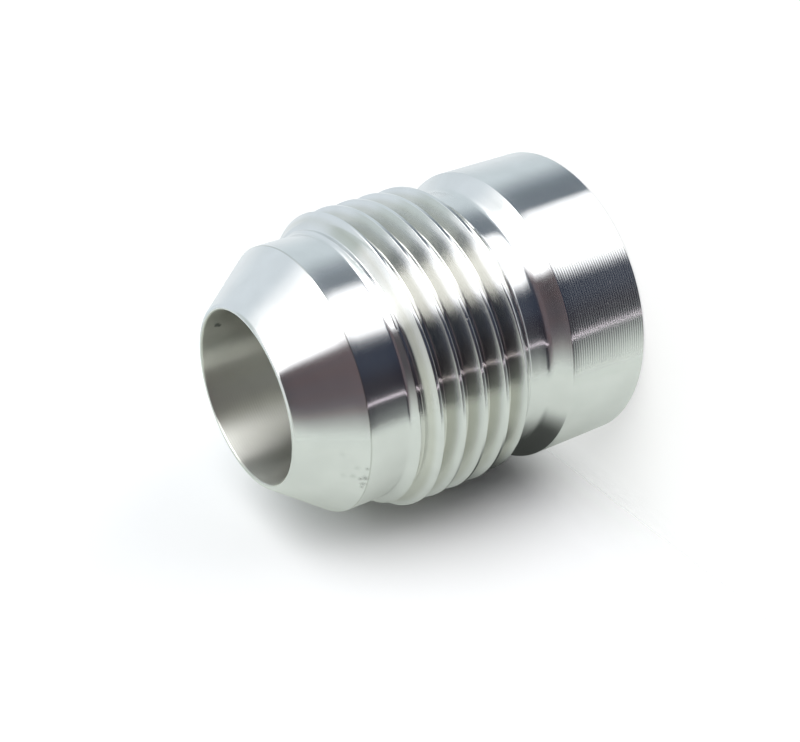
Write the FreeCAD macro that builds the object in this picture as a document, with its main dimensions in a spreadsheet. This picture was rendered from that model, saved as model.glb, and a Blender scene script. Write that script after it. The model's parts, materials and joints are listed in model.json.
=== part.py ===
# Weld on bung: one turned piece of bar with a flare nose, a threaded barrel and a plain weld collar.
# The piece stands on its weld face. The origin is the centre of that face and +Z runs to the nose.
# Sizes are millimetres and degrees.
import FreeCAD, Part
import Sketcher
import os

NODE = "weld_bung"
SHEET = "Dimensions"

# Driving dimensions: alias, value, what it measures.
SIZES = (
    ("thread_diameter", 22.225, "major diameter of the threaded barrel"),
    ("thread_pitch", 1.8143, "14 turns to the inch"),
    ("crest_flat_ratio", 0.125, "flat on the crest as a share of the pitch"),
    ("root_flat_ratio", 0.1667, "flat in the root as a share of the pitch"),
    ("flank_angle", 30.0, "lean of each thread flank from square"),
    ("thread_length", 7.55, "barrel at full diameter, between its two end slopes"),
    ("bore_diameter", 12.7, "through bore"),
    ("lip_width", 0.35, "flat seat face round the bore at the nose"),
    ("flare_angle", 37.0, "half angle of the flare cone"),
    ("stub_length", 3.1, "plain cylinder behind the cone"),
    ("stub_relief", 0.19, "stub's depth below the thread root"),
    ("lead_angle", 45.0, "slope from the stub up to the thread, from the axis"),
    ("runout_angle", 45.0, "slope from the thread down to the groove, from the axis"),
    ("groove_length", 1.75, "floor of the relief groove"),
    ("groove_relief", 0.05, "groove's depth below the thread root"),
    ("shoulder_angle", 45.0, "slope from the groove up to the collar, from the axis"),
    ("collar_diameter", 22.225, "plain collar that is welded in"),
    ("collar_length", 6.6, "collar from the weld face to its edge"),
    ("shoulder_fillet", 0.8, "radius at the foot of the shoulder"),
    ("thread_entry", 0.69, "centre of the thread groove above the foot of the shoulder, on +X"),
)

# Radii of the turned profile, from the sheet.
BORE = "Dimensions.bore_diameter / 2"
LIP = "(Dimensions.bore_diameter / 2 + Dimensions.lip_width)"
COLLAR = "Dimensions.collar_diameter / 2"
CREST = "Dimensions.thread_diameter / 2"
MOUTH_HALF = "(Dimensions.thread_pitch * (1 - Dimensions.crest_flat_ratio) / 2)"
ROOT_HALF = "(Dimensions.thread_pitch * Dimensions.root_flat_ratio / 2)"
DEPTH = f"(({MOUTH_HALF} - {ROOT_HALF}) / tan(Dimensions.flank_angle))"
ROOT = f"({CREST} - {DEPTH})"
GROOVE = f"({ROOT} - Dimensions.groove_relief)"
STUB = f"({ROOT} - Dimensions.stub_relief)"

# How far the thread tool stands out past the crest, and runs on past the lead slope.
TOOL_REACH = "Dimensions.thread_pitch / 6"
TOOL_RUN_ON = "Dimensions.thread_pitch / 5"


def slope_rise(inner, outer, angle):
    """Length along the axis of a slope between two radii."""
    return f"abs({outer} - {inner}) / tan(Dimensions.{angle})"


SHOULDER_RISE = slope_rise(GROOVE, COLLAR, "shoulder_angle")
RUNOUT_RISE = slope_rise(GROOVE, CREST, "runout_angle")
LEAD_RISE = slope_rise(STUB, CREST, "lead_angle")

# The turned profile, walked from the bore's foot: line, radius at its end, rise along the axis.
# A radius of None keeps the last one, and a rise of None keeps the height.
PROFILE = (
    ("weld_face", COLLAR, None),
    ("collar", None, "Dimensions.collar_length"),
    ("shoulder", GROOVE, SHOULDER_RISE),
    ("groove", None, "Dimensions.groove_length"),
    ("runout", CREST, RUNOUT_RISE),
    ("barrel", None, "Dimensions.thread_length"),
    ("lead", STUB, LEAD_RISE),
    ("stub", None, "Dimensions.stub_length"),
    ("flare", LIP, slope_rise(LIP, STUB, "flare_angle")),
    ("seat_face", BORE, None),
)
LINES = [name for name, _, _ in PROFILE]

# Largest radius that fits at the foot of the shoulder.
FOOT_ROOM = f"Dimensions.groove_length / 2; abs({COLLAR} - {GROOVE})"

# Two radii or heights closer than this are the same corner.
SAME_PLACE = 1e-4


def make_sheet(doc):
    """Write the driving dimensions into the sheet, one row each."""
    sheet = doc.addObject("Spreadsheet::Sheet", SHEET)
    for row, (alias, value, meaning) in enumerate(SIZES, start=1):
        sheet.set(f"A{row}", alias)
        sheet.set(f"B{row}", str(value))
        sheet.set(f"C{row}", meaning)
        sheet.setAlias(f"B{row}", alias)
    doc.recompute()
    return sheet


def half_plane_sketch(body, name):
    """Empty sketch on the body's XZ plane: sketch X is the radius, sketch Y the height."""
    plane = next(item for item in body.Origin.OriginFeatures if item.Role == "XZ_Plane")
    sketch = body.newObject("Sketcher::SketchObject", name)
    sketch.AttachmentSupport = (plane, [""])
    sketch.MapMode = "FlatFace"
    return sketch


def close_outline(sketch, corners):
    """Draw straight lines round the corners and join each line to the next."""
    count = len(corners)
    for index, corner in enumerate(corners):
        start = FreeCAD.Vector(corner[0], corner[1], 0)
        end = FreeCAD.Vector(*corners[(index + 1) % count], 0)
        sketch.addGeometry(Part.LineSegment(start, end), False)
    for index in range(count):
        sketch.addConstraint(Sketcher.Constraint("Coincident", index, 2, (index + 1) % count, 1))


def tie(sketch, name, kind, start, end, expression):
    """Add a named distance between two points and tie it to the sheet."""
    value = float(sketch.evalExpression(expression))
    index = sketch.addConstraint(Sketcher.Constraint(kind, *start, *end, value))
    sketch.renameConstraint(index, name)
    sketch.setExpression(f"Constraints.{name}", expression)


def draw_profile(body):
    """Half section of the turned piece, with its bore."""
    sketch = half_plane_sketch(body, "turned_profile")
    radius = float(sketch.evalExpression(BORE))
    height = 0.0
    corners = [(radius, height)]
    for _, end_radius, rise in PROFILE:
        if end_radius is not None:
            radius = float(sketch.evalExpression(end_radius))
        if rise is not None:
            height += float(sketch.evalExpression(rise))
        corners.append((radius, height))
    close_outline(sketch, corners)
    for index, (name, end_radius, rise) in enumerate(PROFILE):
        if end_radius is None:
            sketch.addConstraint(Sketcher.Constraint("Vertical", index))
        else:
            tie(sketch, f"{name}_radius", "DistanceX", (-1, 1), (index, 2), end_radius)
        if rise is None:
            sketch.addConstraint(Sketcher.Constraint("Horizontal", index))
        else:
            tie(sketch, f"{name}_rise", "DistanceY", (index, 1), (index, 2), rise)
    bore_line = len(PROFILE)
    sketch.addConstraint(Sketcher.Constraint("Vertical", bore_line))
    sketch.addConstraint(Sketcher.Constraint("PointOnObject", 0, 1, -1))
    return sketch


def draw_thread_tooth(body):
    """Section of the thread tool where it starts, above the groove's floor."""
    sketch = half_plane_sketch(body, "thread_tooth")
    centre = f"(Dimensions.collar_length + {SHOULDER_RISE} + Dimensions.thread_entry)"
    outside = f"({CREST} + {TOOL_REACH})"
    corners = (
        ("root_low", ROOT, f"{centre} - {ROOT_HALF}"),
        ("mouth_low", CREST, f"{centre} - {MOUTH_HALF}"),
        ("back_low", outside, f"{centre} - {MOUTH_HALF}"),
        ("back_high", outside, f"{centre} + {MOUTH_HALF}"),
        ("mouth_high", CREST, f"{centre} + {MOUTH_HALF}"),
        ("root_high", ROOT, f"{centre} + {ROOT_HALF}"),
    )
    points = [(float(sketch.evalExpression(r)), float(sketch.evalExpression(z))) for _, r, z in corners]
    close_outline(sketch, points)
    for index, (name, radius, height) in enumerate(corners):
        tie(sketch, f"{name}_radius", "DistanceX", (-1, 1), (index, 1), radius)
        tie(sketch, f"{name}_height", "DistanceY", (-1, 1), (index, 1), height)
    return sketch


def ring_edges(shape, sketch, line):
    """Names of the circular edges that the end of a profile line turned into."""
    point = sketch.getPoint(LINES.index(line), 2)
    found = []
    for number, edge in enumerate(shape.Edges, start=1):
        curve = edge.Curve
        if not isinstance(curve, Part.Circle):
            continue
        same_radius = abs(curve.Radius - point.x) < SAME_PLACE
        if same_radius and abs(curve.Center.z - point.y) < SAME_PLACE:
            found.append(f"Edge{number}")
    return found


def turn_blank(body, doc, profile):
    """Turn the profile round the axis, and round the foot of the shoulder."""
    blank = body.newObject("PartDesign::Revolution", "turned_blank")
    blank.Profile = profile
    blank.ReferenceAxis = (profile, ["V_Axis"])
    blank.Angle = 360
    doc.recompute()

    foot = body.newObject("PartDesign::Fillet", "shoulder_foot")
    foot.Base = (blank, ring_edges(blank.Shape, profile, "shoulder"))
    foot.setExpression("Radius", f"min(Dimensions.shoulder_fillet; {FOOT_ROOM})")
    doc.recompute()
    return foot


def cut_thread(body, doc, tooth):
    """Cut the right-hand thread: it starts over the groove and leaves over the stub, both in air."""
    travel = (
        f"Dimensions.groove_length - Dimensions.thread_entry + {RUNOUT_RISE}"
        f" + Dimensions.thread_length + {LEAD_RISE} + {TOOL_RUN_ON}"
    )
    thread = body.newObject("PartDesign::SubtractiveHelix", "thread")
    thread.Profile = tooth
    thread.ReferenceAxis = (tooth, ["V_Axis"])
    thread.Mode = "pitch-height-angle"
    thread.setExpression("Pitch", "Dimensions.thread_pitch")
    thread.setExpression("Height", travel)
    thread.LeftHanded = False
    doc.recompute()
    return thread


def check_document(doc, body, blank, thread):
    """Stop if a feature failed, or if the thread took nothing away."""
    for item in doc.Objects:
        if "Invalid" in item.State or "Error" in item.State:
            raise RuntimeError(f"{item.Name} failed: {item.State}")
    if body.Shape.isNull() or not body.Shape.isValid():
        raise RuntimeError("the turned piece isn't a valid solid")
    removed = blank.Shape.Volume - thread.Shape.Volume
    if removed <= 0:
        raise RuntimeError("the thread cut nothing")
    box = body.Shape.optimalBoundingBox(True, False)
    print(f"{NODE}: {box.XLength:.3f} x {box.YLength:.3f} x {box.ZLength:.3f} mm,"
          f" volume {body.Shape.Volume:.1f} mm3, thread took {removed:.1f} mm3")


def main():
    """Build the bung, check it and write its shape."""
    doc = FreeCAD.newDocument("weld_on_bung")
    make_sheet(doc)
    body = doc.addObject("PartDesign::Body", NODE)
    body.Label = NODE
    profile = draw_profile(body)
    doc.recompute()
    blank = turn_blank(body, doc, profile)
    tooth = draw_thread_tooth(body)
    doc.recompute()
    thread = cut_thread(body, doc, tooth)
    check_document(doc, body, blank, thread)
    os.makedirs("parts", exist_ok=True)
    body.Shape.exportStep(f"parts/{NODE}.step")


main()
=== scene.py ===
"""Looks of the weld on bung: its turned aluminium skin, the true thread, and the light it is seen in.

The bung stands on its weld face in the part's own frame, with +Z along the bore to the flare nose.
Blender works in metres. The sizes below are millimetres and degrees, as on a turner's drawing.
"""

import json
import logging
import math
from dataclasses import dataclass
from enum import Enum

import bmesh
import bpy
from mathutils import Matrix, Vector


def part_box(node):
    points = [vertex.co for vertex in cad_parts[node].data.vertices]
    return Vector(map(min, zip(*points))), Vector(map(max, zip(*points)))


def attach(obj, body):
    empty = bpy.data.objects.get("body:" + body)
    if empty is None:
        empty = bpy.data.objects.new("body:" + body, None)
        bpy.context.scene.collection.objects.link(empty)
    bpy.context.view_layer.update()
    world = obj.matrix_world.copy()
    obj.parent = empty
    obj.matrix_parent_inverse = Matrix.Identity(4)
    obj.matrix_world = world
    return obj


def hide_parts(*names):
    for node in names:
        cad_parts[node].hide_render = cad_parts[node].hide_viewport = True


MM = 0.001
SAME_POINT = 0.0008 * MM
STRAIGHT = math.radians(1)
TO_DEGREES = 180 / math.pi
NODE = "weld_bung"
SLOT = "turned_aluminium"
LOG = logging.getLogger("weld_bung")

Colour = tuple[float, float, float]
Corner = tuple[float, float, float]
SectionPoint = tuple[float, float]
Span = tuple[float, float]
Socket = bpy.types.NodeSocket
Number = float | bpy.types.NodeSocket
Paint = Colour | bpy.types.NodeSocket

WHITE: Colour = (1.0, 1.0, 1.0)

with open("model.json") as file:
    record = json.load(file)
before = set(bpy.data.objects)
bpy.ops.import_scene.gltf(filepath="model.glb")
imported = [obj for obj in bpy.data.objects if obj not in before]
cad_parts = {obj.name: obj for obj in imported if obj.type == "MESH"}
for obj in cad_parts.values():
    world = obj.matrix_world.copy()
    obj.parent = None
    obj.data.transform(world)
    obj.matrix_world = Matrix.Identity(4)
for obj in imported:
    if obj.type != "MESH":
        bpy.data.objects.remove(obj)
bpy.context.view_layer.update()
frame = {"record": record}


@dataclass(frozen=True)
class BungSizes:
    """Radii and heights of the turned profile, from the weld face up, in millimetres."""

    length: float
    collar: float
    bore: float
    crest: float
    collar_top: float = 6.6
    groove: float = 9.9496
    groove_start: float = 7.7629
    groove_end: float = 9.5129
    root: float = 9.9996
    lead_foot: float = 19.5287
    stub: float = 9.8096
    stub_top: float = 22.6287
    lip: float = 6.70
    pitch: float = 1.8143
    crest_flat: float = 0.125
    root_flat: float = 0.1667
    groove_centre: float = 8.4529

    @classmethod
    def from_frame(cls) -> "BungSizes":
        """Take the outer sizes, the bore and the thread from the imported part.

        Returns:
            The sizes that the skin is built from.
        """
        low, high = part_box(NODE)
        mounts = {mount["name"]: mount["dims"] for mount in frame["record"]["mounts"]}
        return cls(
            length=(high.z - low.z) / MM,
            collar=mounts["weld_collar"]["r_mm"],
            bore=mounts["bore"]["r_mm"],
            crest=mounts["thread"]["r_mm"],
        )


def rounded(corners: list[Corner], step_deg: float = 9.0) -> list[SectionPoint]:
    """Walk a section and turn each sharp corner into an arc.

    Args:
        corners: Radius, height and rounding of each corner, in order.
        step_deg: Turn between two points of an arc.

    Returns:
        Radius and height of each point.
    """
    points: list[SectionPoint] = [corners[0][:2]]
    for before, here, after in zip(corners, corners[1:], corners[2:]):
        corner = Vector(here[:2])
        back = (Vector(before[:2]) - corner).normalized()
        ahead = (Vector(after[:2]) - corner).normalized()
        turn = math.pi - back.angle(ahead)
        if here[2] <= 0 or turn < STRAIGHT:
            points.append(tuple(corner))
            continue
        reach = here[2] * math.tan(turn / 2)
        centre = corner + (back + ahead).normalized() * here[2] / math.cos(turn / 2)
        start = corner + back * reach - centre
        count = max(2, math.ceil(math.degrees(turn) / step_deg))
        side = 1 if start.x * ahead.y - start.y * ahead.x > 0 else -1
        for index in range(count + 1):
            angle = side * turn * index / count
            swing = Matrix.Rotation(angle, 2)
            points.append(tuple(centre + swing @ start))
    points.append(corners[-1][:2])
    return points


def split_long(points: list[SectionPoint], longest: float) -> list[SectionPoint]:
    """Add points to a section until no run is longer than asked.

    Args:
        points: Radius and height of each point.
        longest: Longest run left.

    Returns:
        The section with its long runs split evenly.
    """
    result = [points[0]]
    for start, end in zip(points, points[1:]):
        run = math.dist(start, end)
        count = max(1, math.ceil(run / longest))
        for index in range(1, count + 1):
            share = index / count
            result.append((start[0] + (end[0] - start[0]) * share, start[1] + (end[1] - start[1]) * share))
    return result


class Wiring:
    """Adds nodes to a tree and joins their sockets in one call."""

    def __init__(self, tree: bpy.types.NodeTree) -> None:
        """Keep the tree.

        Args:
            tree: The node tree to build in.
        """
        self.tree = tree

    def add(self, kind: str, values: dict | None = None, **settings: object) -> bpy.types.Node:
        """Add a node.

        Args:
            kind: The node's type.
            values: Socket name or number, and the value or the output socket that feeds it.
            settings: Properties of the node.

        Returns:
            The new node.
        """
        node = self.tree.nodes.new(kind)
        for name, value in settings.items():
            setattr(node, name, value)
        for key, value in (values or {}).items():
            socket = node.inputs[key]
            if isinstance(value, bpy.types.NodeSocket):
                self.tree.links.new(value, socket)
            else:
                socket.default_value = value
        return node

    def reckon(self, operation: str, *values: Number) -> Socket:
        """Add a math node.

        Args:
            operation: The operation.
            values: Numbers or output sockets, one for each input.

        Returns:
            The result's socket.
        """
        node = self.add("ShaderNodeMath", dict(enumerate(values)), operation=operation)
        return node.outputs[0]

    def step(
        self, value: Socket, low: float, high: float, to_low: float = 0.0, to_high: float = 1.0
    ) -> Socket:
        """Smooth step of a value between two limits.

        Args:
            value: The socket that is measured.
            low: Where the step starts.
            high: Where the step ends.
            to_low: Result at its start.
            to_high: Result at its end.

        Returns:
            The result's socket.
        """
        node = self.add(
            "ShaderNodeMapRange",
            {"Value": value, "From Min": low, "From Max": high, "To Min": to_low, "To Max": to_high},
            interpolation_type="SMOOTHSTEP",
        )
        return node.outputs[0]

    def zone(self, size: Socket, limits: Span) -> Socket:
        """Mask of the part of the surface past a limit.

        Args:
            size: The size that is measured, in metres.
            limits: Where the mask starts and where it is full, in millimetres.

        Returns:
            The mask's socket.
        """
        start, full = limits
        return self.step(size, start * MM, full * MM)

    def blend(self, factor: Number, first: Paint, second: Paint, how: str = "MIX") -> Socket:
        """Mix two colours.

        Args:
            factor: Share of the second.
            first: Colour or socket.
            second: Colour or socket.
            how: Blend type.

        Returns:
            The mixed colour's socket.
        """
        node = self.add("ShaderNodeMix", {0: factor}, data_type="RGBA", blend_type=how, clamp_factor=True)
        for number, value in ((6, first), (7, second)):
            if isinstance(value, bpy.types.NodeSocket):
                self.tree.links.new(value, node.inputs[number])
            else:
                node.inputs[number].default_value = (*value, 1.0)
        return node.outputs[2]


def blank_material(name: str) -> tuple[bpy.types.Material, Wiring]:
    """Add a material that has no nodes yet.

    Args:
        name: The material's name.

    Returns:
        The material and the wiring of its tree.
    """
    material = bpy.data.materials.new(name)
    material.use_nodes = True
    material.node_tree.nodes.clear()
    return material, Wiring(material.node_tree)


@dataclass(frozen=True)
class BungSkin:
    """The whole turned piece: plain profile, true right-hand thread and broken edges."""

    sizes: BungSizes
    columns: int = 208
    turns: int = 8
    edge: float = 0.06
    foot_fillet: float = 0.8
    face_break: float = 0.12
    mouth_break: float = 0.14
    lip_round: float = 0.32
    stub_round: float = 0.10
    slope_fillet: float = 0.17
    thread_edge: float = 0.03
    root_round: float = 0.10
    crest_round: float = 0.035
    thread_low: float = 9.22
    thread_high: float = 19.82
    plain_run: float = 0.9
    thread_run: float = 0.062
    thread_arc_step: float = 20.0
    sharp_from: float = 38.0

    def plain_section(self) -> list[SectionPoint]:
        """Section from the foot of the thread down round the collar, up the bore and out to the stub.

        Returns:
            Radius and height of each point.
        """
        s = self.sizes
        corners: list[Corner] = [
            (s.groove, self.thread_low, 0.0),
            (s.groove, s.groove_start, self.foot_fillet),
            (s.collar, s.collar_top, self.edge),
            (s.collar, 0.0, self.face_break),
            (s.bore, 0.0, self.face_break),
            (s.bore, s.length, self.mouth_break),
            (s.lip, s.length, self.lip_round),
            (s.stub, s.stub_top, self.stub_round),
            (s.stub, self.thread_high, 0.0),
        ]
        return split_long(rounded(corners), self.plain_run)

    def thread_section(self) -> list[SectionPoint]:
        """Section of one pitch of the thread, from the middle of one root to the next.

        Returns:
            Radius and height of each point.
        """
        s = self.sizes
        root_half = s.pitch * s.root_flat / 2
        mouth_half = s.pitch * (1 - s.crest_flat) / 2
        corners: list[Corner] = [
            (s.root, 0.0, 0.0),
            (s.root, root_half, self.root_round),
            (s.crest, mouth_half, self.crest_round),
            (s.crest, s.pitch - mouth_half, self.crest_round),
            (s.root, s.pitch - root_half, self.root_round),
            (s.root, s.pitch, 0.0),
        ]
        return split_long(rounded(corners, self.thread_arc_step), self.thread_run)

    def thread_tree(self, rows: int) -> bpy.types.NodeTree:
        """Nodes that wind one pitch's section round the axis and trim it to the two end slopes.

        Args:
            rows: Number of points in the section.

        Returns:
            The tree, whose named inputs are the thread's sizes.
        """
        tree = bpy.data.node_groups.new("wound_thread", "GeometryNodeTree")
        wiring = Wiring(tree)
        face = tree.interface
        face.new_socket("Geometry", in_out="INPUT", socket_type="NodeSocketGeometry")
        for name, value in self.thread_inputs(rows).items():
            kind = "NodeSocketInt" if isinstance(value, int) else "NodeSocketFloat"
            socket = face.new_socket(name, in_out="INPUT", socket_type=kind)
            socket.default_value = value
        face.new_socket("Finish", in_out="INPUT", socket_type="NodeSocketMaterial")
        face.new_socket("Geometry", in_out="OUTPUT", socket_type="NodeSocketGeometry")
        given = wiring.add("NodeGroupInput").outputs

        steps = wiring.reckon("MULTIPLY_ADD", given["Turns"], given["Columns"], 1.0)
        grid = wiring.add("GeometryNodeMeshGrid", {"Vertices X": steps, "Vertices Y": given["Rows"]})
        index = wiring.add("GeometryNodeInputIndex").outputs[0]
        row = wiring.reckon("FLOORED_MODULO", index, given["Rows"])
        middle = wiring.reckon("ADD", index, 0.5)
        column = wiring.reckon("FLOOR", wiring.reckon("DIVIDE", middle, given["Rows"]))
        sample = self.sample_section(wiring, given["Geometry"], row)
        point = wiring.add("ShaderNodeSeparateXYZ", {0: sample}).outputs

        turn = wiring.reckon("DIVIDE", column, given["Columns"])
        angle = wiring.reckon("MULTIPLY", turn, math.tau)
        climb = wiring.reckon("MULTIPLY_ADD", turn, given["Pitch"], given["Start height"])
        height = wiring.reckon("ADD", climb, point["Z"])
        height = wiring.reckon("MAXIMUM", height, given["Low end"])
        height = wiring.reckon("MINIMUM", height, given["High end"])
        up = wiring.reckon("SUBTRACT", height, given["Run-out foot"])
        runout = wiring.reckon("SMOOTH_MAX", up, 0.0, given["Slope fillet"])
        down = wiring.reckon("SUBTRACT", given["Lead foot"], height)
        lead = wiring.reckon("SMOOTH_MAX", down, 0.0, given["Slope fillet"])
        runout_radius = wiring.reckon("ADD", given["Groove radius"], runout)
        lead_radius = wiring.reckon("ADD", given["Stub radius"], lead)
        limit = wiring.reckon("MINIMUM", runout_radius, lead_radius)
        radius = wiring.reckon("SMOOTH_MIN", point["X"], limit, given["Edge"])
        x = wiring.reckon("MULTIPLY", radius, wiring.reckon("COSINE", angle))
        y = wiring.reckon("MULTIPLY", radius, wiring.reckon("SINE", angle))
        spot = wiring.add("ShaderNodeCombineXYZ", {0: x, 1: y, 2: height}).outputs[0]

        wound = wiring.add("GeometryNodeSetPosition", {"Geometry": grid.outputs["Mesh"], "Position": spot})
        merged = wiring.add(
            "GeometryNodeMergeByDistance", {"Geometry": wound.outputs[0], "Distance": SAME_POINT}
        )
        smooth = wiring.add(
            "GeometryNodeSetShadeSmooth", {"Geometry": merged.outputs[0], "Shade Smooth": True}
        )
        real = wiring.add("GeometryNodeRealizeInstances", {"Geometry": smooth.outputs[0]})
        finish = wiring.add(
            "GeometryNodeSetMaterial", {"Geometry": real.outputs[0], "Material": given["Finish"]}
        )
        wiring.add("NodeGroupOutput", {0: finish.outputs[0]})
        return tree

    @staticmethod
    def sample_section(wiring: Wiring, section: Socket, row: Socket) -> Socket:
        """Read the section's point of a row.

        Args:
            wiring: The tree's wiring.
            section: The section's geometry.
            row: The row's number.

        Returns:
            The point, with the radius in X and the height in Z.
        """
        place = wiring.add("GeometryNodeInputPosition").outputs[0]
        sockets = {"Geometry": section, "Value": place, "Index": row}
        node = wiring.add("GeometryNodeSampleIndex", sockets, data_type="FLOAT_VECTOR", domain="POINT")
        return node.outputs[0]

    def thread_inputs(self, rows: int) -> dict[str, int | float]:
        """Name and value of each size that the thread's nodes take.

        Args:
            rows: Number of points in the section.

        Returns:
            Values in metres, and counts.
        """
        s = self.sizes
        return {
            "Rows": rows,
            "Columns": self.columns,
            "Turns": self.turns,
            "Pitch": s.pitch * MM,
            "Start height": (s.groove_centre - s.pitch) * MM,
            "Low end": self.thread_low * MM,
            "High end": self.thread_high * MM,
            "Groove radius": s.groove * MM,
            "Run-out foot": s.groove_end * MM,
            "Stub radius": s.stub * MM,
            "Lead foot": s.lead_foot * MM,
            "Slope fillet": self.slope_fillet * MM,
            "Edge": self.thread_edge * MM,
        }

    def wound_thread(self, finish: bpy.types.Material) -> bpy.types.Mesh:
        """Wind the thread with the nodes and bake it to a plain mesh.

        Args:
            finish: The metal's material.

        Returns:
            The thread's mesh, open at both ends.
        """
        points = self.thread_section()
        section = bpy.data.meshes.new("thread_section")
        section.from_pydata([(r * MM, 0.0, z * MM) for r, z in points], [], [])
        holder = bpy.data.objects.new("thread_winder", section)
        bpy.context.scene.collection.objects.link(holder)
        tree = self.thread_tree(len(points))
        modifier = holder.modifiers.new("wound_thread", "NODES")
        modifier.node_group = tree
        values = {**self.thread_inputs(len(points)), "Finish": finish}
        for item in tree.interface.items_tree:
            if item.in_out == "INPUT" and item.name in values:
                modifier[item.identifier] = values[item.name]
        depsgraph = bpy.context.evaluated_depsgraph_get()
        mesh = bpy.data.meshes.new_from_object(holder.evaluated_get(depsgraph))
        holder.modifiers.remove(modifier)
        bpy.data.objects.remove(holder)
        return mesh

    def plain_mesh(self) -> bpy.types.Mesh:
        """Turn the plain section round the axis.

        Returns:
            The mesh of everything but the thread, open at its two rings.
        """
        points = self.plain_section()
        rows = len(points)
        vertices = []
        for column in range(self.columns):
            angle = math.tau * column / self.columns
            vertices += [(r * MM * math.cos(angle), r * MM * math.sin(angle), z * MM) for r, z in points]
        faces = []
        for column in range(self.columns):
            here = column * rows
            there = (column + 1) % self.columns * rows
            faces += [(here + k, there + k, there + k + 1, here + k + 1) for k in range(rows - 1)]
        mesh = bpy.data.meshes.new("plain_skin")
        mesh.from_pydata(vertices, [], faces)
        return mesh

    def build(self, finish: bpy.types.Material) -> bpy.types.Object:
        """Join the plain skin and the thread into one closed skin.

        Args:
            finish: The metal's material.

        Returns:
            The finished object, at the origin.
        """
        skin = bmesh.new()
        skin.from_mesh(self.plain_mesh())
        skin.from_mesh(self.wound_thread(finish))
        bmesh.ops.remove_doubles(skin, verts=skin.verts, dist=SAME_POINT)
        bmesh.ops.recalc_face_normals(skin, faces=skin.faces)
        for face in skin.faces:
            face.smooth = True
            face.material_index = 0
        open_edges = sum(1 for edge in skin.edges if not edge.is_manifold)
        volume = skin.calc_volume()
        mesh = bpy.data.meshes.new("weld_bung_skin")
        skin.to_mesh(mesh)
        skin.free()
        mesh.materials.clear()
        mesh.materials.append(finish)
        mesh.set_sharp_from_angle(angle=math.radians(self.sharp_from))
        piece = bpy.data.objects.new("weld_bung_skin", mesh)
        bpy.context.scene.collection.objects.link(piece)
        triangles = sum(len(face.vertices) - 2 for face in mesh.polygons)
        LOG.info("skin: %d triangles, %d open edges, %.1f mm3", triangles, open_edges, volume / MM**3)
        return piece


@dataclass(frozen=True)
class Mark:
    """A small stain, speck or nick: where it lies, how wide it is and how strongly it shows."""

    place: Corner
    size: float
    depth: float


@dataclass(frozen=True)
class Masks:
    """Where the zones of the metal and its marks lie, each as a socket between 0 and 1."""

    bore: Socket
    collar: Socket
    waist: Socket
    thread: Socket
    # Thread valleys, where painted shade darkens and warms the colour.
    valley_shade: Socket
    seam: Socket
    stained: Socket
    specked: Socket
    chipped: Socket


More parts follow.
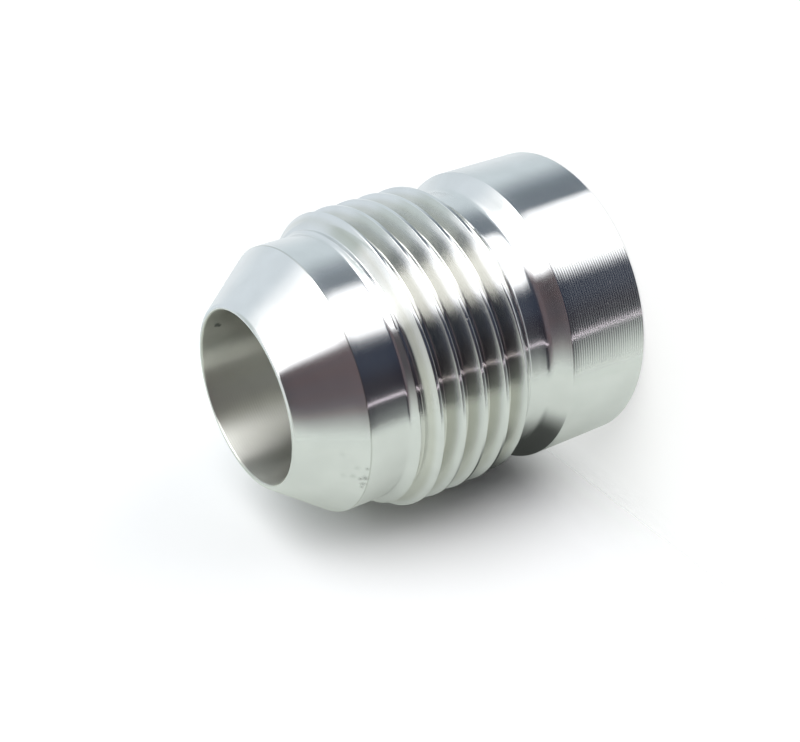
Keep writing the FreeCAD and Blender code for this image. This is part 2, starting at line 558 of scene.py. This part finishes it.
@dataclass(frozen=True)
class TurnedAluminium:
    """Bright aluminium as it comes off the lathe: fine rings, feed marks and a few handling marks, with
    painted shade in the thread valleys and the bore.
    """

    colour: Colour = (0.80, 0.81, 0.82)
    # Painted shade: darker, warmer tone laid over the thread valleys, where the light is dimmer.
    valley_shade: Colour = (0.85, 0.84, 0.79)
    # Painted shade: darker, warmer tone laid over the inside of the bore, where the light is dimmer.
    bore_shade: Colour = (0.845, 0.835, 0.78)
    stain: Colour = (0.20, 0.21, 0.20)
    seam: Colour = (0.62, 0.63, 0.62)
    roughness: float = 0.16
    bore_roughness: float = 0.33
    thread_roughness: float = 0.15
    anisotropy: float = 1.0
    turn: float = 0.25
    ring_width: float = 0.035
    ring_depth: float = 0.45e-3
    feed: float = 0.205
    feed_depth: float = 1.6e-3
    bore_feed_depth: float = 1.0e-3
    ring_wander: float = 120.0
    waist_calm: float = 0.8
    slant: float = 0.8
    cloud_scale: float = 420.0
    cloud_limits: Span = (0.3, 0.7)
    cloud_tone: float = 0.95
    rough_spread: float = 0.02
    mark_roughness: float = 0.4
    mark_grain: float = 3600.0
    mark_ragged: float = 1.1
    mark_reach: float = 1.7
    stain_soft: float = 1.5
    speck_soft: float = 0.8
    chip_soft: float = 0.7
    bore_zone: Span = (6.50, 6.40)
    collar_zone: Span = (6.9, 6.5)
    foot_zone: Span = (6.7, 7.2)
    stub_zone: Span = (19.6, 19.2)
    runout_zone: Span = (9.4, 10.2)
    lead_zone: Span = (19.2, 18.4)
    valley_zone: Span = (10.95, 10.5)
    seam_height: float = 22.63
    seam_zone: Span = (0.07, 0.03)
    rim_zone: Span = (9.0, 9.2)
    stains: tuple[Mark, ...] = (
        Mark((-7.14, -6.56, 22.79), 0.24, 0.45),
        Mark((-7.71, -5.85, 22.81), 0.34, 0.62),
        Mark((-7.67, -5.59, 23.06), 0.24, 0.45),
        Mark((-8.07, -5.27, 22.86), 0.30, 0.55),
        Mark((-8.26, -4.97, 22.86), 0.22, 0.45),
        Mark((-6.84, -6.25, 23.35), 0.34, 0.16),
        Mark((-7.30, -5.54, 23.49), 0.34, 0.22),
        Mark((-5.68, -6.55, 24.14), 0.36, 0.12),
        Mark((-7.02, -5.24, 24.02), 0.36, 0.13),
    )
    specks: tuple[Mark, ...] = (
        Mark((0.12, -11.11, 14.18), 0.10, 1.0),
        Mark((0.10, -11.11, 14.42), 0.07, 1.0),
        Mark((-0.72, -11.09, 2.33), 0.07, 1.0),
        Mark((-2.06, -10.92, 2.96), 0.06, 1.0),
    )
    chips: tuple[Mark, ...] = (
        Mark((5.57, 3.04, 25.65), 0.26, 0.95),
        Mark((5.50, 3.16, 25.45), 0.20, 0.95),
    )

    def spots(self, wiring: Wiring, place: Socket, marks: tuple[Mark, ...], soft: float) -> Socket:
        """Mask of a set of marks, each with an uneven edge.

        Args:
            wiring: The material's wiring.
            place: The object's coordinates.
            marks: The marks.
            soft: Share of a mark's size over which it fades.

        Returns:
            The mask's socket.
        """
        noise = wiring.add("ShaderNodeTexNoise", {"Vector": place, "Scale": self.mark_grain, "Detail": 3.0})
        mask = None
        for mark in marks:
            centre = tuple(value * MM for value in mark.place)
            gap = wiring.add("ShaderNodeVectorMath", {0: place, 1: centre}, operation="DISTANCE")
            ragged = mark.size * self.mark_ragged * MM
            edge = wiring.reckon("MULTIPLY_ADD", noise.outputs[0], ragged, gap.outputs["Value"])
            outer = mark.size * self.mark_reach * MM
            inner = mark.size * (self.mark_reach - soft) * MM
            spot = wiring.step(edge, outer, inner, 0.0, mark.depth)
            mask = spot if mask is None else wiring.reckon("MAXIMUM", mask, spot)
        return mask

    def masks(self, wiring: Wiring, place: Socket, height: Socket, radius: Socket) -> Masks:
        """Mark out the zones of the metal, the seam and the small marks.

        Args:
            wiring: The material's wiring.
            place: The object's coordinates.
            height: Height above the weld face.
            radius: Distance from the bore's axis.

        Returns:
            The masks.
        """
        past_foot = wiring.zone(height, self.foot_zone)
        before_stub = wiring.zone(height, self.stub_zone)
        past_runout = wiring.zone(height, self.runout_zone)
        before_lead = wiring.zone(height, self.lead_zone)
        on_thread = wiring.reckon("MULTIPLY", past_runout, before_lead)
        off_seam = wiring.reckon("ABSOLUTE", wiring.reckon("SUBTRACT", height, self.seam_height * MM))
        on_seam = wiring.zone(off_seam, self.seam_zone)
        return Masks(
            bore=wiring.zone(radius, self.bore_zone),
            collar=wiring.zone(height, self.collar_zone),
            waist=wiring.reckon("MULTIPLY", past_foot, before_stub),
            thread=on_thread,
            valley_shade=wiring.reckon("MULTIPLY", on_thread, wiring.zone(radius, self.valley_zone)),
            seam=wiring.reckon("MULTIPLY", on_seam, wiring.zone(radius, self.rim_zone)),
            stained=self.spots(wiring, place, self.stains, self.stain_soft),
            specked=self.spots(wiring, place, self.specks, self.speck_soft),
            chipped=self.spots(wiring, place, self.chips, self.chip_soft),
        )

    def tint(self, wiring: Wiring, place: Socket, masks: Masks) -> Socket:
        """Colour of the metal: faintly clouded, darker and warmer in the thread valleys and the bore as
        painted shade, with seam and stains.

        Args:
            wiring: The material's wiring.
            place: The object's coordinates.
            masks: The zones and marks.

        Returns:
            The colour's socket.
        """
        cloud = wiring.add("ShaderNodeTexNoise", {"Vector": place, "Scale": self.cloud_scale, "Detail": 4.0})
        tone = wiring.step(cloud.outputs[0], *self.cloud_limits, self.cloud_tone, 1.0)
        grey = wiring.add("ShaderNodeCombineColor", {0: tone, 1: tone, 2: tone}).outputs[0]
        colour = wiring.blend(1.0, self.colour, grey, "MULTIPLY")
        # Painted shade: the thread valleys and the bore are darkened and warmed.
        colour = wiring.blend(masks.valley_shade, colour, wiring.blend(1.0, colour, self.valley_shade, "MULTIPLY"))
        colour = wiring.blend(masks.bore, colour, wiring.blend(1.0, colour, self.bore_shade, "MULTIPLY"))
        colour = wiring.blend(masks.seam, colour, self.seam)
        marked = wiring.reckon("MAXIMUM", masks.stained, masks.chipped)
        return wiring.blend(marked, colour, self.stain)

    def roughen(self, wiring: Wiring, fine: Socket, masks: Masks) -> Socket:
        """Roughness of the metal, with its own value in the bore, on the thread and on marks.

        Args:
            wiring: The material's wiring.
            fine: The fine rings.
            masks: The zones and marks.

        Returns:
            The roughness's socket.
        """
        lowest = self.roughness - self.rough_spread / 2
        rough = wiring.reckon("MULTIPLY_ADD", fine, self.rough_spread, lowest)
        rough = wiring.reckon("MULTIPLY_ADD", masks.bore, self.bore_roughness - self.roughness, rough)
        rough = wiring.reckon("MULTIPLY_ADD", masks.thread, self.thread_roughness - self.roughness, rough)
        marked = wiring.reckon("MAXIMUM", masks.stained, masks.specked)
        return wiring.reckon("MULTIPLY_ADD", marked, self.mark_roughness, rough)

    def relief(self, wiring: Wiring, along: Socket, fine: Socket, masks: Masks) -> Socket:
        """Feed marks of the collar and the bore, over the fine rings, as a bump.

        Args:
            wiring: The material's wiring.
            along: Way along the turned surface.
            fine: The fine rings.
            masks: The zones and marks.

        Returns:
            The normal's socket.
        """
        wave = wiring.reckon("SINE", wiring.reckon("MULTIPLY", along, math.tau / (self.feed * MM)))
        depth = wiring.reckon("MULTIPLY", masks.collar, self.feed_depth * MM)
        bore_depth = wiring.reckon("MULTIPLY", masks.bore, self.bore_feed_depth * MM)
        feed = wiring.reckon("MULTIPLY", wave, wiring.reckon("MAXIMUM", depth, bore_depth))
        calm = -self.waist_calm * self.ring_depth * MM
        ring_depth = wiring.reckon("MULTIPLY_ADD", masks.waist, calm, self.ring_depth * MM)
        height = wiring.reckon("MULTIPLY_ADD", fine, ring_depth, feed)
        return wiring.add("ShaderNodeBump", {"Strength": 1.0, "Distance": 1.0, "Height": height}).outputs[0]

    def material(self) -> bpy.types.Material:
        """Build the metal's material.

        Returns:
            The material.
        """
        material, wiring = blank_material(SLOT)
        place = wiring.add("ShaderNodeTexCoord").outputs["Object"]
        axis = wiring.add("ShaderNodeSeparateXYZ", {0: place}).outputs
        flat = wiring.add("ShaderNodeCombineXYZ", {0: axis["X"], 1: axis["Y"]}).outputs[0]
        radius = wiring.add("ShaderNodeVectorMath", {0: flat}, operation="LENGTH").outputs["Value"]
        along = wiring.reckon("MULTIPLY_ADD", radius, -self.slant, axis["Z"])
        rings = wiring.add("ShaderNodeCombineXYZ", {
            0: wiring.reckon("MULTIPLY", along, 1 / (self.ring_width * MM)),
            1: wiring.reckon("MULTIPLY", axis["X"], self.ring_wander),
            2: wiring.reckon("MULTIPLY", axis["Y"], self.ring_wander),
        }).outputs[0]
        fine = wiring.add("ShaderNodeTexNoise", {"Vector": rings, "Scale": 1.0, "Detail": 2.0}).outputs[0]
        masks = self.masks(wiring, place, axis["Z"], radius)
        shader = wiring.add("ShaderNodeBsdfPrincipled", {
            "Base Color": self.tint(wiring, place, masks),
            "Metallic": 1.0,
            "Roughness": self.roughen(wiring, fine, masks),
            "Anisotropic": self.anisotropy,
            "Anisotropic Rotation": self.turn,
            "Normal": self.relief(wiring, along, fine, masks),
            "Tangent": wiring.add("ShaderNodeTangent", direction_type="RADIAL", axis="Z").outputs[0],
        })
        wiring.add("ShaderNodeOutputMaterial", {"Surface": shader.outputs[0]})
        return material


class Bound(Enum):
    """Which end of a panel an edge is, as the way that leads in from it."""

    START = 1
    END = -1


@dataclass(frozen=True)
class Edge:
    """Edge of a panel: its compass angle, how softly it fades, and its lean for each degree of height."""

    angle: float
    soft: float = 2.0
    lean: float = 0.0


@dataclass(frozen=True)
class Panel:
    """One panel of the light tent, between two edges round the bore's axis, in degrees."""

    start: Edge
    end: Edge
    colour: Colour
    fleck: Colour | None = None


@dataclass(frozen=True)
class TentRing:
    """One ring of the tent: its wall and table, its height, where it takes over, and its panels."""

    wall: Colour
    table: Colour
    height: float
    fade: Span
    panels: tuple[Panel, ...] = ()


EVERYWHERE: Span = (-200.0, -190.0)
TABLE: Colour = (0.82, 0.89, 0.82)
LAMP: Colour = (4.5, 4.5, 4.5)
SOFT_DARK: Colour = (0.150, 0.134, 0.150)
BROWN_DARK: Colour = (0.165, 0.112, 0.112)
FLECKED_DARK = Panel(Edge(-148.0, 38.0), Edge(-62.0, 34.0), SOFT_DARK, BROWN_DARK)


@dataclass(frozen=True)
class LightTent:
    """The surroundings that light the metal and that it mirrors, and the plain white behind it."""

    rings: tuple[TentRing, ...] = (
        TentRing(
            wall=(0.70, 0.78, 0.81),
            table=(0.84, 0.90, 0.82),
            height=-28.0,
            fade=EVERYWHERE,
            panels=(
                Panel(Edge(48.0, 36.0), Edge(130.0, 36.0), (0.90, 0.95, 0.97)),
                Panel(Edge(-60.0), Edge(0.2, 36.0, -1.4), (0.140, 0.173, 0.205)),
                Panel(Edge(-90.0), Edge(-30.4, 1.6, -1.02), (1.8, 1.8, 1.8)),
                Panel(Edge(-146.7, 40.0, -1.16), Edge(-75.5, 2.0, 0.5), (0.036, 0.045, 0.068)),
                Panel(Edge(-146.7, 40.0, -1.16), Edge(-106.0, 22.0), (0.028, 0.026, 0.035)),
                Panel(Edge(-128.8, 0.5), Edge(-127.8, 0.5), (2.2, 1.95, 2.1)),
            ),
        ),
        TentRing(
            wall=(0.80, 0.87, 0.91),
            table=TABLE,
            height=30.0,
            fade=(-8.0, 14.0),
            panels=(
                Panel(Edge(-40.0, 30.0), Edge(2.0, 30.0), (1.6, 1.6, 1.6)),
                Panel(Edge(-90.0, 8.0), Edge(-12.0, 8.0), LAMP),
                FLECKED_DARK,
            ),
        ),
        TentRing(
            wall=(0.62, 0.69, 0.67),
            table=TABLE,
            height=45.0,
            fade=(32.0, 40.0),
            panels=(Panel(Edge(-90.0, 8.0), Edge(-22.0, 12.0, -0.5), LAMP), FLECKED_DARK),
        ),
        TentRing(
            wall=(1.05, 1.08, 1.08),
            table=(0.72, 0.76, 0.69),
            height=60.0,
            fade=(50.0, 56.0),
            panels=(
                Panel(Edge(-70.0, 14.0), Edge(-10.0, 14.0), (3.0, 3.0, 3.0)),
                Panel(Edge(-145.5, 40.0), Edge(-70.0, 12.0), (0.045, 0.045, 0.052)),
            ),
        ),
        TentRing(wall=(0.72, 0.74, 0.70), table=(0.72, 0.74, 0.70), height=90.0, fade=(72.0, 86.0)),
        TentRing(wall=(1.0, 1.02, 1.04), table=(1.0, 1.02, 1.04), height=-90.0, fade=(-48.0, -60.0)),
    )
    table_left: Span = (120.0, 150.0)
    table_right: Span = (-100.0, -130.0)
    fleck_scale: float = 9.0
    fleck_limits: Span = (0.40, 0.62)

    @staticmethod
    def side(wiring: Wiring, compass: Socket, raised: Socket, edge: Edge, bound: Bound) -> Socket:
        """Fade across one edge of a panel.

        Args:
            wiring: The world's wiring.
            compass: Compass angle of the ray, in degrees.
            raised: Height of the ray above the ring's own height, in degrees.
            edge: The edge.
            bound: Whether the panel starts or ends there.

        Returns:
            A socket that is 1 inside the panel.
        """
        angle = wiring.reckon("MULTIPLY_ADD", raised, -edge.lean, compass) if edge.lean else compass
        half = bound.value * edge.soft / 2
        return wiring.step(angle, edge.angle - half, edge.angle + half)

    def paint(self, wiring: Wiring, compass: Socket, height: Socket, cloud: Socket, ring: TentRing) -> Socket:
        """Lay a ring's panels over its wall and table.

        Args:
            wiring: The world's wiring.
            compass: Compass angle of the ray, in degrees.
            height: Height of the ray above the level, in degrees.
            cloud: Uneven mask for the flecked panels.
            ring: The ring.

        Returns:
            The colour's socket.
        """
        left = wiring.step(compass, *self.table_left)
        right = wiring.step(compass, *self.table_right)
        colour = wiring.blend(wiring.reckon("MAXIMUM", left, right), ring.wall, ring.table)
        raised = wiring.reckon("SUBTRACT", height, ring.height)
        for panel in ring.panels:
            begun = self.side(wiring, compass, raised, panel.start, Bound.START)
            ended = self.side(wiring, compass, raised, panel.end, Bound.END)
            paint = wiring.blend(cloud, panel.colour, panel.fleck) if panel.fleck else panel.colour
            colour = wiring.blend(wiring.reckon("MULTIPLY", begun, ended), colour, paint)
        return colour

    def build(self) -> None:
        """Light the world with the rings, and show plain white to the camera."""
        world = bpy.data.worlds.new("light_tent")
        bpy.context.scene.world = world
        world.use_nodes = True
        world.cycles.sampling_method = "NONE"
        world.node_tree.nodes.clear()
        wiring = Wiring(world.node_tree)
        way = wiring.add("ShaderNodeTexCoord").outputs["Generated"]
        part = wiring.add("ShaderNodeSeparateXYZ", {0: way}).outputs
        compass = wiring.reckon("MULTIPLY", wiring.reckon("ARCTAN2", part["Y"], part["X"]), TO_DEGREES)
        height = wiring.reckon("MULTIPLY", wiring.reckon("ARCSINE", part["Z"]), TO_DEGREES)
        noise = wiring.add("ShaderNodeTexNoise", {"Vector": way, "Scale": self.fleck_scale, "Detail": 3.0})
        cloud = wiring.step(noise.outputs[0], *self.fleck_limits)
        colour: Paint = WHITE
        for ring in self.rings:
            share = wiring.step(height, *ring.fade)
            colour = wiring.blend(share, colour, self.paint(wiring, compass, height, cloud, ring))
        ray = wiring.add("ShaderNodeLightPath").outputs
        tent = wiring.add("ShaderNodeBackground", {"Color": colour, "Strength": 1.0})
        white = wiring.add("ShaderNodeBackground", {"Color": (*WHITE, 1.0), "Strength": 1.0})
        plain = wiring.reckon("MAXIMUM", ray["Is Camera Ray"], ray["Is Transmission Ray"])
        both = wiring.add("ShaderNodeMixShader", {0: plain, 1: tent.outputs[0], 2: white.outputs[0]})
        wiring.add("ShaderNodeOutputWorld", {"Surface": both.outputs[0]})


@dataclass(frozen=True)
class PhotoCamera:
    """The camera at the photograph's viewing angle: it looks at a point on the bung's axis."""

    target: Corner = (-1.846, -0.036, 14.560)
    distance: float = 108.506
    azimuth: float = -1.105
    elevation: float = 28.099
    roll: float = 109.692
    lens: float = 66.89
    sensor: float = 36.0
    nearest: float = 1.0
    farthest: float = 10000.0

    def build(self) -> None:
        """Place the camera and make it the scene's own."""
        data = bpy.data.cameras.new("photo_camera")
        data.lens = self.lens
        data.sensor_width = self.sensor
        data.sensor_fit = "HORIZONTAL"
        data.clip_start = self.nearest * MM
        data.clip_end = self.farthest * MM
        camera = bpy.data.objects.new("photo_camera", data)
        bpy.context.scene.collection.objects.link(camera)
        turn = Matrix.Rotation(math.radians(-self.azimuth), 4, "Z")
        tip = Matrix.Rotation(math.radians(90 - self.elevation), 4, "X")
        roll = Matrix.Rotation(math.radians(-self.roll), 4, "Z")
        back = Matrix.Translation((0, 0, self.distance * MM))
        camera.matrix_world = Matrix.Translation(Vector(self.target) * MM) @ turn @ tip @ roll @ back
        bpy.context.scene.camera = camera


@dataclass(frozen=True)
class Studio:
    """The pale floor that the bung stands on, and the white card that its side touches."""

    floor_half: float = 1500.0
    floor_colour: Colour = (0.60, 0.60, 0.60)
    floor_glow: float = 0.42
    card_half: float = 46.0
    card_height: float = 13.0
    card_facing: float = -36.05
    card_away: float = 11.13
    card_solid: float = 26.0
    card_fade: float = 8.0
    card_colour: Colour = (0.785, 0.79, 0.795)
    mirrored_colour: Colour = (0.515, 0.55, 0.50)
    # Glow that the card gives in the metal's reflection, though it is no lamp: it lightens the card's real
    # shadow there.
    mirrored_glow: Colour = (0.86, 0.92, 0.84)
    glow_share: float = 0.4
    # Painted shadow on the card, seen only in the metal's reflection: a soft dark spot near the contact line.
    shade_middle: Corner = (4.5, -6.0, 0.0)
    shade_reach: Corner = (5.5, 9.0, 1.0)
    shade_edge: Span = (0.45, 1.15)
    shade_depth: float = 0.88
    bounces: int = 12

    def plane(self, name: str, half: float, place: Matrix, finish: bpy.types.Material) -> None:
        """Add a square plane.

        Args:
            name: The object's name.
            half: Half its side, in millimetres.
            place: Where it lies; its face looks along its own +Z.
            finish: Its material.
        """
        mesh = bpy.data.meshes.new(name)
        corners = [(-half, -half), (half, -half), (half, half), (-half, half)]
        mesh.from_pydata([(x * MM, y * MM, 0.0) for x, y in corners], [], [(0, 1, 2, 3)])
        mesh.materials.append(finish)
        plane = bpy.data.objects.new(name, mesh)
        plane.matrix_world = place
        bpy.context.scene.collection.objects.link(plane)

    def floor_paint(self) -> bpy.types.Material:
        """White that keeps the bung's soft shadow for the camera, and lets the metal mirror the tent.

        Returns:
            The material.
        """
        material, wiring = blank_material("white_floor")
        ray = wiring.add("ShaderNodeLightPath").outputs
        glow = wiring.add("ShaderNodeEmission", {"Color": (*WHITE, 1.0), "Strength": self.floor_glow})
        matt = wiring.add("ShaderNodeBsdfDiffuse", {"Color": (*self.floor_colour, 1.0)})
        lit = wiring.add("ShaderNodeAddShader", {0: glow.outputs[0], 1: matt.outputs[0]})
        clear = wiring.add("ShaderNodeBsdfTransparent")
        by_camera = ray["Is Camera Ray"]
        seen = wiring.add("ShaderNodeMixShader", {0: by_camera, 1: clear.outputs[0], 2: lit.outputs[0]})
        wiring.add("ShaderNodeOutputMaterial", {"Surface": seen.outputs[0]})
        return material

    def card_paint(self) -> bpy.types.Material:
        """White card seen from its front only, fading out round its middle, with the bung's real shadow; in
        the metal's reflection it partly glows, which lightens that shadow, and carries a painted shadow spot
        near the contact.

        Returns:
            The material.
        """
        material, wiring = blank_material("white_card")
        ray = wiring.add("ShaderNodeLightPath").outputs
        place = wiring.add("ShaderNodeTexCoord").outputs["Object"]
        away = wiring.add("ShaderNodeVectorMath", {0: place}, operation="LENGTH").outputs["Value"]
        solid = wiring.zone(away, (self.card_half, self.card_solid))
        behind = wiring.add("ShaderNodeNewGeometry").outputs["Backfacing"]
        front = wiring.reckon("MULTIPLY", solid, wiring.reckon("SUBTRACT", 1.0, behind))
        down = wiring.add("ShaderNodeSeparateXYZ", {0: place}).outputs["X"]
        above_floor = wiring.zone(down, (self.card_height, self.card_height - self.card_fade))
        by_camera = wiring.reckon("MULTIPLY", ray["Is Camera Ray"], above_floor)
        shown = wiring.reckon("MULTIPLY", front, wiring.reckon("MAXIMUM", by_camera, ray["Is Glossy Ray"]))

        # Painted shadow: a soft dark spot near the contact line, on the card as the metal mirrors it.
        middle = tuple(value * MM for value in self.shade_middle)
        reach = tuple(value * MM for value in self.shade_reach)
        aside = wiring.add("ShaderNodeVectorMath", {0: place, 1: middle}, operation="SUBTRACT").outputs[0]
        share = wiring.add("ShaderNodeVectorMath", {0: aside, 1: reach}, operation="DIVIDE").outputs[0]
        gap = wiring.add("ShaderNodeVectorMath", {0: share}, operation="LENGTH").outputs["Value"]
        light = wiring.step(gap, *self.shade_edge, 1.0 - self.shade_depth, 1.0)
        grey = wiring.add("ShaderNodeCombineColor", {0: light, 1: light, 2: light}).outputs[0]
        mirrored = wiring.blend(1.0, self.mirrored_colour, grey, "MULTIPLY")
        glowing = wiring.blend(1.0, self.mirrored_glow, grey, "MULTIPLY")
        colour = wiring.blend(ray["Is Camera Ray"], mirrored, self.card_colour)
        matt = wiring.add("ShaderNodeBsdfDiffuse", {"Color": colour})
        # Painted light: for glossy rays the card partly glows, lightening its shadow in the metal's
        # reflection.
        glow = wiring.add("ShaderNodeEmission", {"Color": glowing, "Strength": 1.0})
        glow_share = wiring.reckon("MULTIPLY", ray["Is Glossy Ray"], self.glow_share)
        face = wiring.add("ShaderNodeMixShader", {0: glow_share, 1: matt.outputs[0], 2: glow.outputs[0]})
        clear = wiring.add("ShaderNodeBsdfTransparent")
        seen = wiring.add("ShaderNodeMixShader", {0: shown, 1: clear.outputs[0], 2: face.outputs[0]})
        wiring.add("ShaderNodeOutputMaterial", {"Surface": seen.outputs[0]})
        return material

    def build(self) -> None:
        """Add the floor and the card, and let light bounce down the whole bore."""
        self.plane("pale_floor", self.floor_half, Matrix.Identity(4), self.floor_paint())
        lift = Matrix.Translation((0, 0, self.card_height * MM))
        upright = Matrix.Rotation(math.pi / 2, 4, "Y")
        facing = Matrix.Rotation(math.radians(self.card_facing), 4, "Z") @ upright
        back = Matrix.Translation((0, 0, -self.card_away * MM))
        self.plane("white_card", self.card_half, lift @ facing @ back, self.card_paint())
        scene = bpy.context.scene
        scene.cycles.glossy_bounces = self.bounces
        scene.view_settings.view_transform = "Standard"


def main() -> None:
    """Build the bung's skin, its light, its floor and the camera."""
    logging.basicConfig(level=logging.INFO, format="%(name)s: %(message)s")
    metal = TurnedAluminium().material()
    skin = BungSkin(BungSizes.from_frame()).build(metal)
    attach(skin, "root")
    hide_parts(NODE)
    LightTent().build()
    Studio().build()
    PhotoCamera().build()


if __name__ == "__main__":
    main()
